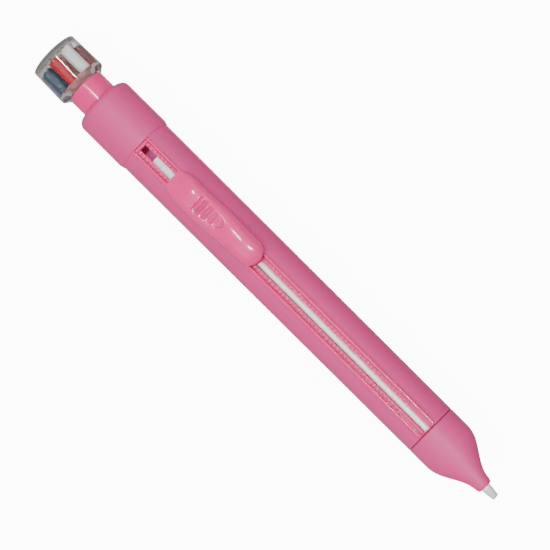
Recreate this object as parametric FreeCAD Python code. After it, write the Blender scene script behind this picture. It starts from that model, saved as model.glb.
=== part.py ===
import FreeCAD, Part
import math
import os

# Hand-driven stick pen. A thumb slider runs in a toothed window along the barrel and carries a white
# stick that comes out of an eccentric nose. A clear knob at the other end holds spare sticks, and
# turning it brings one of them in line with the hole of the disc that closes its magazine.
#
# X runs along the pen to the nose, from x = 0 at the collar's rear face, where the head plugs in.
# z = 0 is the barrel's axis, and +Z points at the window. All lengths are in millimetres.

Vector = FreeCAD.Vector
ALONG = Vector(1, 0, 0)

# ---- sticks ---------------------------------------------------------------------------------------
stick_d = 2.5
stick_tip_d = 1.8            # worn end of the stick in use
stick_out = 3.5              # how far the stick stands out of the nose
stick_bore_clear = 0.08      # radial, between a stick and a hole that it slides through
spare_gap = 0.2              # free length at each end of a spare stick

# ---- magazine and head ----------------------------------------------------------------------------
chamber_count = 6
chamber_web = 0.56           # wall between two chambers
chamber_wall = 0.35          # wall outside the chambers, in the neck
first_chamber_deg = 8.0      # from the window's direction, towards -Y
neck_length = 5.35           # the stretch seen between knob and collar
plug_step = 0.5              # the plug is larger than the neck by this, on the radius
plug_length = 6.5            # inside the collar and barrel
cap_length = 10.8
cap_overhang = 1.65          # the knob is larger than the neck by this, on the radius
cap_draft = 0.2              # the knob is smaller at its flat end by this, on the radius
cap_end_wall = 1.0
cap_socket_depth = 2.1
cap_chamber_lap = 0.5        # how far the cap's chambers are bored into its socket
cap_chamfer = 1.3
cap_chamfer_length = 1.0
socket_step = 0.2            # the neck's spigot is smaller than the neck by this, on the radius
press_gap = 0.02             # left between round faces that are pressed together
ring_section = 0.7           # O-ring
ring_from_mouth = 3.0
ring_running = 0.02
ring_groove_side = 0.1       # the groove is longer than the ring by this, at each end
disc_thickness = 0.8
disc_gap = 0.15
disc_key_width = 1.2
disc_key_height = 0.5
disc_room = 0.3              # free length past the disc, in its keyway
key_clear = 0.1
screw_r = 0.55
screw_head_r = 1.1
screw_head_height = 0.6
screw_length = 5.0
screw_slot_half = 0.15

# ---- barrel and collar ----------------------------------------------------------------------------
barrel_length = 94.1         # from the collar's front edge to the nose seam
barrel_wall = 1.5            # at the rear, outside the head's bore
barrel_taper = 0.25          # lost on the radius from the collar to the nose
bore_clear = 0.2             # radial, between the head's plug and the barrel's bore
collar_length = 14.85
collar_step = 0.4            # the collar stands proud of the barrel by this
collar_wall = 0.9
collar_end_wall = 2.0
collar_shoulder = 1.65       # radius of the rounded shoulder on the neck side
collar_chamfer_length = 0.9

# ---- window and toothed track ---------------------------------------------------------------------
rim_proud = 0.11             # the rims' tops over the barrel's front radius
window_width = 3.66
window_end_bar = 0.5         # bar that closes the window beside the nose
groove_width = 1.69
teeth_below_rim = 0.65
tooth_pitch = 1.18
tooth_length = 0.84
tooth_height = 0.35
tooth_side_gap = 0.1
teeth_short_of_end = 6.2     # plain stretch of ledge beside the nose
teeth_start = 0.5            # plain stretch at the track's rear end
tooth_flank = 0.08           # slope at each end of a tooth
ledge_thickness = 0.45
stick_under_ledge = 0.1
tunnel_side = 0.85           # room beside the stick, in the tunnel
tunnel_under = 1.3           # room below the stick
track_wall = 0.6
track_under_collar = 3.2
foot_reach = 0.9
foot_height = 0.75

# ---- nose -----------------------------------------------------------------------------------------
nose_length = 18.3
nose_seam = 0.12             # width of the parting line
nose_tip_wall = 0.72
nose_wall = 1.2
nose_hollow = 9.0            # length of the hollow from the seam
nose_fillet = 0.35
nose_straight = 0.25         # share of the nose's length that stays as wide as the barrel
nose_fall = 0.78             # share of its length that the S curve would take; the tip cuts it short
nose_stations = 18
hollow_stations = 6
nose_lip = 2.0               # solid length between the spigot and the hollow
lip_lap = 0.2                # the spigot's bore runs past the lip by this
spigot_length = 4.0
spigot_wall = 1.2
bush_wall = 0.42
bush_length = 9.4
brake_length = 3.0
brake_wall = 0.46
brake_running = 0.02
guide_wall = 0.5

# ---- slider ---------------------------------------------------------------------------------------
button_length = 28.55
button_behind = 10.85        # from the collar's front edge to the button's rear end
button_overhang = 0.9        # beyond the rims, on each side
button_clear = 0.1           # above the rims
saddle_clear = 0.2           # above the barrel
button_height = 3.0          # above the rims, at the front dome
# the button's outline: share of its length, share of its half width, share of its height
button_sections = ((0.0, 0.60, 0.12), (0.05, 0.88, 0.26), (0.12, 0.99, 0.46), (0.21, 1.0, 0.70),
                   (0.31, 0.99, 0.70), (0.44, 0.96, 0.58), (0.58, 0.92, 0.66), (0.72, 0.89, 0.92),
                   (0.84, 0.87, 0.99), (0.93, 0.75, 0.84), (0.98, 0.50, 0.52), (1.0, 0.28, 0.26))
section_roundness = 0.55     # power of the section's curve: 1 is a diamond, 0 a box
rib_count = 4
rib_pitch = 1.72
rib_first = 8.15             # from the button's rear end
rib_r = 0.42
rib_width = 4.0
rib_sunk = 0.2               # the ribs' centres, below the button's surface
carriage_clear = 0.1
carriage_behind = 1.8        # the carriage's rear end, from the button's rear end
carriage_length = 25.0
tongue_behind = 8.0
tongue_length = 16.0
tongue_clear = 0.12
tongue_height = 0.95         # above the rims
tongue_root = 0.4            # how far the tongue enters the carriage
holder_wall = 0.5
holder_tail = 6.2            # white end of the holder behind the button
holder_socket = 8.0
holder_lead = 1.0            # the socket starts this far behind the carriage
holder_chamfer = 0.8
leaf_thickness = 0.2
grip_leaf_length = 9.0
grip_leaf_width = 1.6
grip_leaf_behind = 1.0       # from the holder's end to the leaf's pocket
grip_leaf_play = 0.1         # free length at each end of the leaf
grip_leaf_lift = 0.05        # the leaf's ends, above its pocket's floor
grip_pocket = 0.55           # depth of the leaf's pocket below the stick
pawl_length = 7.0
pawl_leg_width = 0.7
pawl_tooth = 0.3             # height of the bent end that drops between two teeth
pawl_ahead = 1.0             # from the tongue to the pawl's held end
pawl_below = 0.1             # the pawl lies this far below the rims
pawl_tab_height = 0.9        # how far the tab goes up into the button
pawl_toe = 0.2               # length of the bent end
pawl_heel = 0.14             # how far its back leans
pawl_hook = 0.05             # blunt thickness of its point
button_steps = 10            # stretches of a section's curve

# ---- how shapes are made --------------------------------------------------------------------------
through = 1.0                # how far a cutting shape passes a face
sink = 0.1                   # how far a fused shape enters the one it stands on
edge_touch = 0.01            # an edge this near a plane lies in it

# ---- sizes that follow ----------------------------------------------------------------------------
stick_r = stick_d / 2
chamber_r = stick_r + stick_bore_clear
chamber_circle = 2 * chamber_r + chamber_web
neck_r = chamber_circle + chamber_r + chamber_wall
plug_r = neck_r + plug_step
bore_r = plug_r + bore_clear
barrel_r = bore_r + barrel_wall
front_r = barrel_r - barrel_taper
collar_r = barrel_r + collar_step
seat_r = collar_r - collar_wall
cap_r = neck_r + cap_overhang
spigot_r = neck_r - socket_step

seam_x = collar_length + barrel_length
nose_end_x = seam_x + nose_length
tip_x = nose_end_x + stick_out
cap_base_x = -neck_length
cap_end_x = cap_base_x - cap_length
spigot_x = cap_base_x - cap_socket_depth
chamber_end_x = cap_end_x + cap_end_wall
track_x = collar_length - track_under_collar

rim_top = front_r + rim_proud
teeth_top = rim_top - teeth_below_rim
teeth_root = teeth_top - tooth_height
ledge_under = teeth_root - ledge_thickness
stick_z = ledge_under - stick_under_ledge - stick_r
tunnel_half = stick_r + tunnel_side
tunnel_floor = stick_z - stick_r - tunnel_under
track_half = tunnel_half + track_wall
window_half = window_width / 2
bead_r = (track_half - window_half) / 2
bead_y = (track_half + window_half) / 2
foot_half = track_half + foot_reach
foot_top = math.sqrt((bore_r - press_gap) ** 2 - foot_half ** 2)
window_end_x = seam_x - window_end_bar

nose_tip_r = stick_r + stick_bore_clear + nose_tip_wall
bush_r = stick_r + stick_bore_clear + bush_wall
brake_r = stick_r + brake_running + brake_wall
brake_x = seam_x + nose_seam + bush_length

button_x = collar_length + button_behind
button_half = track_half + button_overhang
button_under = rim_top + button_clear
carriage_x = button_x + carriage_behind
carriage_top = ledge_under - carriage_clear
holder_x = button_x - holder_tail
socket_x = carriage_x - holder_lead
socket_end_x = socket_x + holder_socket
leaf_x = socket_end_x + grip_leaf_behind
pocket_floor = stick_z - stick_r - grip_pocket
tongue_x = button_x + tongue_behind
tongue_half = groove_width / 2 - tongue_clear
holder_r = stick_r + holder_wall


# ---- shapes that repeat ---------------------------------------------------------------------------
def rod(x0, x1, r, y=0.0, z=0.0):
    """A round bar along the pen."""
    return Part.makeCylinder(r, x1 - x0, Vector(x0, y, z), ALONG)


def cone(x0, x1, r0, r1, y=0.0, z=0.0):
    """A tapered bar along the pen."""
    return Part.makeCone(r0, r1, x1 - x0, Vector(x0, y, z), ALONG)


def block(x0, x1, y0, y1, z0, z1):
    """A box between two corners."""
    return Part.makeBox(x1 - x0, y1 - y0, z1 - z0, Vector(x0, y0, z0))


def band(x0, x1, half, z0, z1):
    """A box of the given half width, centred on the pen's middle plane."""
    return block(x0, x1, -half, half, z0, z1)


def turned(outline):
    """A solid turned about the pen's axis, from (x, r) points that end on the axis."""
    points = [Vector(x, 0, r) for x, r in outline]
    face = Part.Face(Part.makePolygon(points + points[:1]))
    return face.revolve(Vector(0, 0, 0), ALONG, 360)


def side_plate(outline, y0, y1):
    """A plate across the pen from y0 to y1, from (x, z) points of its side view."""
    points = [Vector(x, y0, z) for x, z in outline]
    face = Part.Face(Part.makePolygon(points + points[:1]))
    return face.extrude(Vector(0, y1 - y0, 0))


def chamber_place(index):
    """The y and z of one chamber's axis."""
    angle = math.radians(first_chamber_deg + index * 360 / chamber_count)
    return -chamber_circle * math.sin(angle), chamber_circle * math.cos(angle)


def chambers(x0, x1, r):
    """One bar for each chamber of the magazine."""
    bars = []
    for index in range(chamber_count):
        y, z = chamber_place(index)
        bars.append(rod(x0, x1, r, y, z))
    return Part.makeCompound(bars)


def save(name, shape):
    """Write one piece's closed solid."""
    shape = shape.removeSplitter()
    solids = shape.Solids
    if len(solids) != 1 or not solids[0].isValid():
        raise RuntimeError(name + " isn't one valid solid: " + str(len(solids)))
    solids[0].exportStep(os.path.join("parts", name + ".step"))
    box = solids[0].BoundBox
    print("%-20s volume %8.2f  x %7.2f %7.2f  z %6.2f %6.2f"
          % (name, solids[0].Volume, box.XMin, box.XMax, box.ZMin, box.ZMax))


# ---- barrel, collar and track ---------------------------------------------------------------------
def keyway():
    """The groove under the bore that the disc's key slides in."""
    half = disc_key_width / 2 + key_clear
    depth = bore_r + disc_key_height / 2 + key_clear
    end = plug_length + disc_gap + disc_thickness + disc_room
    return band(-through, end, half, -depth, -bore_r + through)


def make_barrel():
    body = rod(collar_end_wall, collar_length, seat_r)
    body = body.fuse(cone(collar_length, seam_x, barrel_r, front_r))
    body = body.cut(rod(collar_end_wall - through, seam_x + through, bore_r))
    body = body.cut(band(track_x, seam_x + through, track_half, 0, barrel_r + through))
    return body.cut(keyway())


def make_collar():
    middle = collar_r - collar_shoulder
    body = rod(0, collar_length - collar_chamfer_length, collar_r)
    body = body.fuse(cone(collar_length - collar_chamfer_length, collar_length, collar_r, barrel_r))
    rear_edge = [e for e in body.Edges if e.BoundBox.XMax < edge_touch and e.Length > 6 * middle]
    body = body.makeFillet(collar_shoulder, rear_edge)
    body = body.cut(rod(-through, collar_length, bore_r))
    body = body.cut(rod(collar_end_wall, collar_length + through, seat_r + press_gap))
    return body.cut(keyway())


def tooth_rows():
    """The two rows of teeth, one each side of the groove."""
    first = track_x + teeth_start
    count = int((window_end_x - teeth_short_of_end - first) / tooth_pitch)
    outline = [(first, teeth_root - sink)]
    for index in range(count):
        x = first + index * tooth_pitch
        outline += [(x, teeth_root), (x + tooth_flank, teeth_top)]
        outline += [(x + tooth_length - tooth_flank, teeth_top), (x + tooth_length, teeth_root)]
    outline.append((first + (count - 1) * tooth_pitch + tooth_length, teeth_root - sink))
    inner = groove_width / 2
    outer = window_half - tooth_side_gap
    return [side_plate(outline, inner, outer), side_plate(outline, -outer, -inner)]


def make_track():
    body = band(track_x, seam_x, track_half, tunnel_floor - track_wall, rim_top - bead_r)
    body = body.fuse(band(track_x, seam_x, foot_half, foot_top - foot_height, foot_top))
    for side in (-1, 1):
        body = body.fuse(rod(track_x, seam_x, bead_r, side * bead_y, rim_top - bead_r))
    bar = band(window_end_x, seam_x, window_half, teeth_root, rim_top - bead_r)
    x0 = track_x - through
    x1 = seam_x + through
    body = body.cut(band(x0, x1, window_half, teeth_root, rim_top + through)).fuse(bar)
    body = body.cut(band(x0, window_end_x, groove_width / 2, tunnel_floor, rim_top + through))
    body = body.cut(band(x0, x1, tunnel_half, tunnel_floor, ledge_under))
    for row in tooth_rows():
        body = body.fuse(row)
    return body.cut(collar_room())


def collar_room():
    """The space round the barrel's seat that the collar's sleeve takes."""
    sleeve = rod(track_x - through, collar_length, collar_r + through)
    return sleeve.cut(rod(track_x - through, collar_length, seat_r))


# ---- nose -----------------------------------------------------------------------------------------
def nose_share(along):
    """1 at the seam, close to 0 at the tip, along a soft S curve."""
    fall = max(along - nose_straight, 0) / nose_fall
    return 1 - fall ** 3 * (10 - 15 * fall + 6 * fall ** 2)


def nose_skin(inset, x0, x1, count):
    """The nose's form, offset inwards: round sections whose centres climb to the stick's axis."""
    rings = []
    for index in range(count):
        x = x0 + (x1 - x0) * index / (count - 1)
        share = nose_share((x - seam_x) / nose_length)
        r = nose_tip_r + (front_r - nose_tip_r) * share - inset
        centre = Vector(x, 0, stick_z * (1 - share))
        rings.append(Part.Wire(Part.makeCircle(r, centre, ALONG)))
    return Part.makeLoft(rings, True, False)


def make_nose():
    rear = seam_x + nose_seam
    inner_r = bore_r - press_gap - spigot_wall
    hollow_end = seam_x + nose_hollow
    body = nose_skin(0, rear, nose_end_x, nose_stations)
    tip_edge = [e for e in body.Edges if e.BoundBox.XMin > nose_end_x - edge_touch]
    body = body.makeFillet(nose_fillet, tip_edge)
    body = body.fuse(rod(seam_x - spigot_length, rear, bore_r - press_gap))
    body = body.cut(nose_skin(nose_wall, rear + nose_lip, hollow_end, hollow_stations))
    body = body.cut(rod(seam_x - spigot_length - through, rear + nose_lip + lip_lap, inner_r))
    room = track_half + foot_reach + press_gap
    track_under = tunnel_floor - track_wall - press_gap
    body = body.cut(band(seam_x - spigot_length - through, rear, room, track_under, barrel_r))
    guide = rod(rear, hollow_end + through, bush_r + guide_wall, 0, stick_z)
    body = body.fuse(guide.common(nose_skin(0, rear, nose_end_x, nose_stations)))
    body = body.cut(rod(rear - through, brake_x, bush_r + press_gap, 0, stick_z))
    body = body.cut(rod(brake_x - edge_touch, brake_x + brake_length, brake_r + press_gap, 0, stick_z))
    return body.cut(rod(brake_x, nose_end_x + through, stick_r + stick_bore_clear, 0, stick_z))


def make_guide_bush():
    outer = rod(seam_x + nose_seam, brake_x, bush_r, 0, stick_z)
    return outer.cut(rod(seam_x, brake_x + through, stick_r + stick_bore_clear, 0, stick_z))


def make_brake_ring():
    outer = rod(brake_x, brake_x + brake_length, brake_r, 0, stick_z)
    bore = rod(brake_x - through, brake_x + brake_length + through, stick_r + brake_running, 0, stick_z)
    return outer.cut(bore)


# ---- slider ---------------------------------------------------------------------------------------
def button_section(x, half, base, height):
    """One arched section of the button, flat below."""
    points = []
    for index in range(button_steps + 1):
        angle = math.pi * index / button_steps
        y = math.copysign(abs(math.cos(angle)) ** section_roundness, math.cos(angle)) * half
        points.append(Vector(x, y, base + height * math.sin(angle) ** section_roundness))
    arch = Part.BSplineCurve()
    arch.interpolate(points)
    return Part.Wire([arch.toShape(), Part.makeLine(points[-1], points[0])])


def button_height_at(x):
    """The button's height above the rims, straight between its sections."""
    share = (x - button_x) / button_length
    for low, high in zip(button_sections, button_sections[1:]):
        if low[0] <= share <= high[0]:
            part = (share - low[0]) / (high[0] - low[0])
            return button_height * (low[2] + part * (high[2] - low[2]))
    return 0.0


def make_button():
    base = math.sqrt((barrel_r + saddle_clear) ** 2 - button_half ** 2)
    skirt = button_under - base
    wires = []
    for along, wide, high in button_sections:
        x = button_x + along * button_length
        wires.append(button_section(x, wide * button_half, base, skirt + high * button_height))
    body = Part.makeLoft(wires, True, False)
    for index in range(rib_count):
        x = button_x + rib_first + index * rib_pitch
        z = button_under + button_height_at(x) - rib_sunk
        rib = Part.makeCylinder(rib_r, rib_width, Vector(x, -rib_width / 2, z), Vector(0, 1, 0))
        body = body.fuse(rib)
    x0 = button_x - through
    x1 = button_x + button_length + through
    body = body.cut(rod(x0, x1, barrel_r + saddle_clear))
    body = body.cut(band(x0, x1, track_half + button_clear, 0, button_under))
    body = body.cut(band(tongue_x, tongue_x + tongue_length, tongue_half, 0, rim_top + tongue_height))
    return body.cut(pawl_tab())


def make_carriage():
    half = tunnel_half - carriage_clear
    bottom = tunnel_floor + carriage_clear
    end = carriage_x + carriage_length
    leaf_half = grip_leaf_width / 2 + press_gap
    body = band(carriage_x, end, half, bottom, carriage_top)
    tongue_base = carriage_top - tongue_root
    tongue = band(tongue_x, tongue_x + tongue_length, tongue_half, tongue_base, rim_top + tongue_height)
    body = body.fuse(tongue)
    body = body.cut(rod(carriage_x - through, socket_end_x, holder_r + press_gap, 0, stick_z))
    body = body.cut(rod(carriage_x, end + through, stick_r + stick_bore_clear, 0, stick_z))
    return body.cut(band(leaf_x, leaf_x + grip_leaf_length, leaf_half, pocket_floor, stick_z))


def make_holder():
    body = cone(holder_x, holder_x + holder_chamfer, holder_r - holder_chamfer, holder_r, 0, stick_z)
    body = body.fuse(rod(holder_x + holder_chamfer, socket_end_x, holder_r, 0, stick_z))
    body = body.cut(rod(socket_x, socket_end_x + through, stick_r, 0, stick_z))
    over = band(holder_x - through, socket_end_x + through, holder_r + through, carriage_top, barrel_r)
    return body.cut(over)


def make_grip_leaf():
    """A thin bowed leaf that presses the stick up in its carriage."""
    x0 = leaf_x + grip_leaf_play
    x1 = leaf_x + grip_leaf_length - grip_leaf_play
    low = pocket_floor + grip_leaf_lift
    high = stick_z - stick_r - leaf_thickness
    middle = (x0 + x1) / 2
    top = Part.Arc(Vector(x0, 0, low + leaf_thickness), Vector(middle, 0, high + leaf_thickness),
                   Vector(x1, 0, low + leaf_thickness)).toShape()
    bottom = Part.Arc(Vector(x0, 0, low), Vector(middle, 0, high), Vector(x1, 0, low)).toShape()
    ends = [Part.makeLine(Vector(x, 0, low), Vector(x, 0, low + leaf_thickness)) for x in (x0, x1)]
    face = Part.Face(Part.Wire(Part.__sortEdges__([top, bottom] + ends)))
    leaf = face.extrude(Vector(0, grip_leaf_width, 0))
    leaf.translate(Vector(0, -grip_leaf_width / 2, 0))
    return leaf


def make_stick():
    body = rod(socket_x, nose_end_x, stick_r, 0, stick_z)
    return body.fuse(cone(nose_end_x, tip_x, stick_r, stick_tip_d / 2, 0, stick_z))


def pawl_front():
    """Where the pawl spring is held, near the button's front end."""
    return tongue_x + tongue_length + pawl_ahead


def pawl_tab():
    """The tab that holds the pawl spring in the button."""
    x = pawl_front()
    half = window_half - 2 * tooth_side_gap
    return band(x, x + leaf_thickness * 2, half, rim_top - pawl_below, button_under + pawl_tab_height)


def make_pawl():
    """A forked steel leaf: two legs beside the tongue, whose bent ends drop between the teeth."""
    x1 = pawl_front()
    gap_centre = (tooth_length + tooth_pitch) / 2
    first = track_x + teeth_start + gap_centre
    steps = math.floor((x1 - pawl_length - first) / tooth_pitch)
    x0 = first + steps * tooth_pitch
    top = rim_top - pawl_below
    end_z = teeth_top + pawl_hook
    point_z = end_z - pawl_tooth
    outline = [(x1, top), (x1, top - leaf_thickness), (x0 + pawl_toe, end_z), (x0, point_z)]
    outline += [(x0 - pawl_heel, point_z + pawl_hook), (x0 - pawl_hook, end_z + leaf_thickness)]
    outer = window_half - 2 * tooth_side_gap
    inner = outer - pawl_leg_width
    spring = side_plate(outline, inner, outer).fuse(side_plate(outline, -outer, -inner))
    bridge = band(x1 - pawl_hook, x1 + leaf_thickness, outer, top - leaf_thickness, top)
    return spring.fuse(pawl_tab()).fuse(bridge)


# ---- head -----------------------------------------------------------------------------------------
def make_cap():
    body = turned([(cap_end_x, 0), (cap_end_x, cap_r - cap_draft), (cap_base_x - cap_chamfer_length, cap_r),
                   (cap_base_x, cap_r - cap_chamfer), (cap_base_x, 0)])
    body = body.cut(rod(spigot_x, cap_base_x + through, spigot_r + press_gap))
    return body.cut(chambers(chamber_end_x, spigot_x + cap_chamber_lap, chamber_r))


def make_plug():
    body = rod(spigot_x, cap_base_x, spigot_r).fuse(rod(cap_base_x, 0, neck_r))
    body = body.fuse(rod(0, plug_length, plug_r))
    groove_x0 = ring_from_mouth - ring_groove_side
    groove_x1 = ring_from_mouth + ring_section + ring_groove_side
    groove_floor = rod(groove_x0 - through, groove_x1 + through, bore_r - ring_section - 2 * ring_running)
    groove = rod(groove_x0, groove_x1, plug_r + through).cut(groove_floor)
    body = body.cut(groove)
    body = body.cut(chambers(spigot_x - through, plug_length + through, chamber_r))
    return body.cut(rod(plug_length - screw_length + screw_head_height, plug_length + through, screw_r))


def make_o_ring():
    r = ring_section / 2
    centre = Vector(ring_from_mouth + r, 0, 0)
    return Part.makeTorus(bore_r - ring_running - r, r, centre, ALONG)


def make_disc():
    x0 = plug_length + disc_gap
    x1 = x0 + disc_thickness
    key_r = bore_r + disc_key_height / 2
    body = rod(x0, x1, plug_r).fuse(band(x0, x1, disc_key_width / 2, -key_r, -plug_r + through))
    y, z = chamber_place(chamber_count - 1)
    body = body.cut(rod(x0 - through, x1 + through, chamber_r, y, z))
    return body.cut(rod(x0 - through, x1 + through, screw_r + key_clear))


def make_screw():
    x1 = plug_length + disc_gap + disc_thickness + ring_running
    head = rod(x1, x1 + screw_head_height, screw_head_r)
    slot_x = x1 + screw_head_height / 2
    head = head.cut(band(slot_x, x1 + through, screw_slot_half, -screw_head_r, screw_head_r))
    return head.fuse(rod(plug_length - screw_length + screw_head_height, x1, screw_r))


def make_spare(index):
    y, z = chamber_place(index)
    return rod(chamber_end_x + spare_gap, plug_length - spare_gap, stick_r, y, z)


os.makedirs("parts", exist_ok=True)
save("barrel", make_barrel())
save("collar", make_collar())
save("feed_track", make_track())
save("nose_cone", make_nose())
save("guide_bush", make_guide_bush())
save("brake_ring", make_brake_ring())
save("slider_button", make_button())
save("carriage", make_carriage())
save("stick_holder", make_holder())
save("grip_leaf", make_grip_leaf())
save("pawl_spring", make_pawl())
save("stick", make_stick())
save("head_plug", make_plug())
save("head_cap", make_cap())
save("head_o_ring", make_o_ring())
save("selector_disc", make_disc())
save("selector_screw", make_screw())
# the disc's hole starts under the last chamber
spare_colours = ("red", "blue", "violet", "orange", "maroon", "white")
for chamber, colour in enumerate(spare_colours):
    save("spare_stick_" + colour, make_spare(chamber))
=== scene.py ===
# %% [markdown]
# # A hand-driven stick pen
#
# The pen is a pink plastic tube with a toothed window along its top. A thumb slider in the window carries a
# white stick that comes out of the nose, and a clear knob at the other end holds spare coloured sticks.
#
# The engineering model is loaded first and never changed. It says where everything is, so every new piece
# below takes its place and its size from the boxes of the engineering parts. X runs along the pen to the
# nose, Z points at the window, and the pen's axis is the line y = 0, z = 0. Lengths are in metres, and `mm`
# makes them readable.

# %% Load the engineering model
import bpy
import bmesh
import math
from mathutils import Matrix, Vector, noise


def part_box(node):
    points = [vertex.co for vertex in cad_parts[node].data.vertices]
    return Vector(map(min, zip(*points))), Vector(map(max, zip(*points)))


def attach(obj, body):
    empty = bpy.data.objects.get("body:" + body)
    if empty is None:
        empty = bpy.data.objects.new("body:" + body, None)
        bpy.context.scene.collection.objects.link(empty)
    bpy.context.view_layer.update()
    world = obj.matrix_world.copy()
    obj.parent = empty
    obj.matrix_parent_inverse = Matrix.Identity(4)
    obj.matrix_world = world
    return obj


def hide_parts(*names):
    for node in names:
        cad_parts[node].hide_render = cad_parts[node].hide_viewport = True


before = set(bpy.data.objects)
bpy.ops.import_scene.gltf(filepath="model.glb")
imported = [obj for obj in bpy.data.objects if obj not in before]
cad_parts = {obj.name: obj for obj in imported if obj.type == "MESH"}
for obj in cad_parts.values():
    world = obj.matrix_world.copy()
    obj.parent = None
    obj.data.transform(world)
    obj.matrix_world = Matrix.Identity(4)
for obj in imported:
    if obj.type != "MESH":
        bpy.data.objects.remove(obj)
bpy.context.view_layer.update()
mm = 0.001


# %% [markdown]
# The sizes that the pieces share are read off the parts' boxes once. A round part's radius is half its box
# across the pen, and the stick's own height above the axis is the middle of its box.

# %% Sizes read from the parts
def low(node):
    """The lowest corner of a part's box."""
    return Vector(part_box(node)[0])


def high(node):
    """The highest corner of a part's box."""
    return Vector(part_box(node)[1])


barrel_r = high("barrel").y
seam_x = high("barrel").x
nose_r = high("nose_cone").y
nose_end_x = high("nose_cone").x
collar_r = high("collar").y
collar_end_x = high("collar").x
stick_r = high("stick").y
stick_z = (low("stick").z + high("stick").z) / 2
tip_x = high("stick").x
rim_top = high("feed_track").z
cap_r = high("head_cap").y
cap_end_x = low("head_cap").x
cap_base_x = high("head_cap").x
button_x0 = low("slider_button").x
button_x1 = high("slider_button").x
button_half = high("slider_button").y
print("barrel radius %.2f mm" % (barrel_r / mm))
print("stick radius %.2f mm at z %.2f mm" % (stick_r / mm, stick_z / mm))

# %% [markdown]
# Shader maths reads best as arithmetic. `Socket` wraps one output of a node and overloads the operators, so
# `rough = 0.4 + grain * 0.1` adds its Math nodes by itself. `Finish` is one material: its `node` method
# makes any other node from its type, its settings and the values or links of its sockets.

# %% A small language for materials
class Socket:
    """One number or colour that flows through a material."""

    def __init__(self, finish, output):
        self.finish = finish
        self.output = output

    def maths(self, operation, first, second):
        """A Math node on two numbers or sockets."""
        return self.finish.node("ShaderNodeMath", {"operation": operation}, {0: first, 1: second})

    def __add__(self, other):
        return self.maths("ADD", self, other)

    __radd__ = __add__

    def __mul__(self, other):
        return self.maths("MULTIPLY", self, other)

    __rmul__ = __mul__

    def __sub__(self, other):
        return self.maths("SUBTRACT", self, other)

    def __rsub__(self, other):
        return self.maths("SUBTRACT", other, self)

    def __pow__(self, other):
        return self.maths("POWER", self, other)


class Finish:
    """One material, built on the Principled shader."""

    def __init__(self, name, **constants):
        self.material = bpy.data.materials.new(name)
        self.material.use_nodes = True
        self.tree = self.material.node_tree
        self.shader = self.tree.nodes["Principled BSDF"]
        self.place = self.node("ShaderNodeTexCoord", {}, {}, "Object")
        for socket, value in constants.items():
            self.shader.inputs[socket.replace("_", " ")].default_value = value

    def feed(self, socket, value):
        """Sets a socket to a value, or links it to a Socket."""
        if isinstance(value, Socket):
            self.tree.links.new(value.output, socket)
        else:
            socket.default_value = value

    def node(self, kind, settings, values, output=0):
        """Any node: its settings come first, then its sockets."""
        made = self.tree.nodes.new(kind)
        for key, value in settings.items():
            setattr(made, key, value)
        for key, value in values.items():
            self.feed(made.inputs[key], value)
        return Socket(self, made.outputs[output])

    def set(self, socket, value):
        """Feeds one of the shader's own sockets."""
        self.feed(self.shader.inputs[socket], value)

    def now(self, socket):
        """What feeds one of the shader's own sockets at present."""
        return Socket(self, self.shader.inputs[socket].links[0].from_socket)

    def stretched(self, x, y, z):
        """The object's coordinates, scaled differently along each axis."""
        return self.node("ShaderNodeMapping", {}, {"Vector": self.place, "Scale": (x, y, z)})

    def along_pen(self):
        """Where a point lies along the pen."""
        return self.node("ShaderNodeSeparateXYZ", {}, {"Vector": self.place}, "X")

    def noise(self, size, detail, vector=None):
        """Soft noise whose blotches are about `size` metres across, from 0 to 1."""
        values = {"Vector": vector or self.place, "Scale": 1 / size, "Detail": detail}
        return self.node("ShaderNodeTexNoise", {}, values, "Fac")

    def ramp(self, amount, start, end):
        """0 below start and 1 above end."""
        values = {"Value": amount, "From Min": start, "From Max": end}
        return self.node("ShaderNodeMapRange", {"interpolation_type": "SMOOTHSTEP"}, values, "Result")

    def mix(self, amount, first, second):
        """A blend of two colours."""
        colours = {0: amount, 6: first, 7: second}
        return self.node("ShaderNodeMix", {"data_type": "RGBA"}, colours, 2)

    def bump(self, height, depth, strength):
        """Relief of `depth` metres where height goes from 0 to 1."""
        values = {"Height": height, "Distance": depth, "Strength": strength}
        self.set("Normal", self.node("ShaderNodeBump", {}, values, "Normal"))


def colour(red, green, blue):
    """A linear colour with full alpha."""
    return (red, green, blue, 1.0)


print("material helpers ready")

# %% [markdown]
# Two pinks cover most of the pen. The barrel, the collar and the nose come from tools with a fine
# spark-eroded texture, so they are satin: broad soft highlights, a grain of a few tenths of a millimetre,
# slow clouds where the dye mixed unevenly, and faint handling marks that shine a little more.

# %% Satin pink
def satin_pink():
    """Finely textured pink plastic."""
    made = Finish("satin_pink", Specular_IOR_Level=0.16)
    flow = made.noise(9 * mm, 3.0, made.stretched(0.25, 1, 1))
    grain = made.noise(0.28 * mm, 1.0)
    rubbed = made.ramp(made.noise(5 * mm, 4.0), 0.55, 0.75)
    made.set("Base Color", made.mix(flow, colour(0.56, 0.044, 0.190), colour(0.63, 0.054, 0.220)))
    made.set("Roughness", 0.42 + grain * 0.10 - rubbed * 0.07)
    made.bump(grain, 0.012 * mm, 0.5)
    return made.material


pink_satin = satin_pink()
print("made", pink_satin.name)

# %% [markdown]
# The slider and the neck come from polished tools. Their pink is the same dye, but a clear shine lies over
# it, so it looks deeper, and the highlights are small and hard. Fine scuffs along the pen dull that shine
# here and there, and the surface waves very slightly, as thick mouldings do. The neck's spigot sits inside
# the clear knob, so its version of the pink turns a darker smoky mauve at the knob's base: painted shade for
# the dimming by the thick clear plastic. The slider's version reads painted shade from an attribute that
# its mesh carries, darker in the dish's valleys and at the foot of the front.

# %% Glossy pink
deep_pink = (colour(0.72, 0.014, 0.170), colour(0.82, 0.020, 0.205))
gloss_rough = 0.22
gloss_coat = 0.6


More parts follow.
